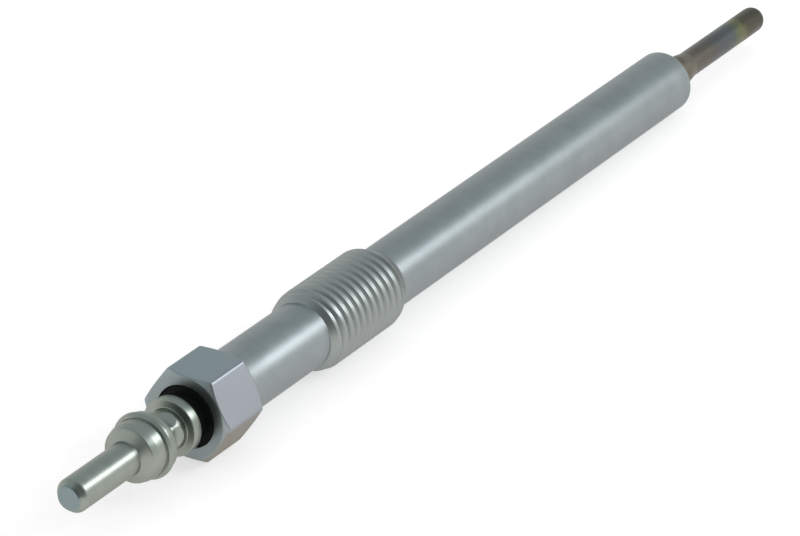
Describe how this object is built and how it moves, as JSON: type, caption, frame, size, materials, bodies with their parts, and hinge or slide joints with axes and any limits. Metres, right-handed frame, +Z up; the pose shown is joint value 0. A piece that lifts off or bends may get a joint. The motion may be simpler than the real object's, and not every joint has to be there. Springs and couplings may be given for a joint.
{
  "type": "diesel glow plug",
  "caption": "Long sheathed glow plug for a diesel engine: push-on pin terminal with a crimped neck, hexagon, threaded housing, slim barrel and a heat-tinted tip.",
  "frame": {"origin": "on the plug's axis, in the plane of the rim where the barrel ends and the sealing cone begins", "axes": "+X along the plug's axis, from the terminal to the glow tube's tip; +Z up, square to a flat of the hexagon, which lies flat side down"},
  "size_m": [0.1533, 0.0116, 0.01],
  "materials": {
    "zinc_plated_steel": "satin zinc plating",
    "heat_tinted_alloy": "satin, tinted by heat",
    "heating_wire": "drawn wire",
    "regulating_wire": "drawn wire",
    "insulating_powder": "pressed powder",
    "seal_rubber": "matt",
    "stud_steel": "drawn",
    "black_plastic": "matt",
    "terminal_plating": "bright turned and plated"
  },
  "bodies": {
    "root": {"housing": "zinc_plated_steel", "glow_tube": "heat_tinted_alloy", "heating_coil": "heating_wire", "regulating_coil": "regulating_wire", "filling": "insulating_powder", "tube_seal": "seal_rubber", "terminal_stud": "stud_steel", "housing_seal": "seal_rubber", "insulating_washer": "black_plastic", "terminal": "terminal_plating"}
  },
  "joints": []
}
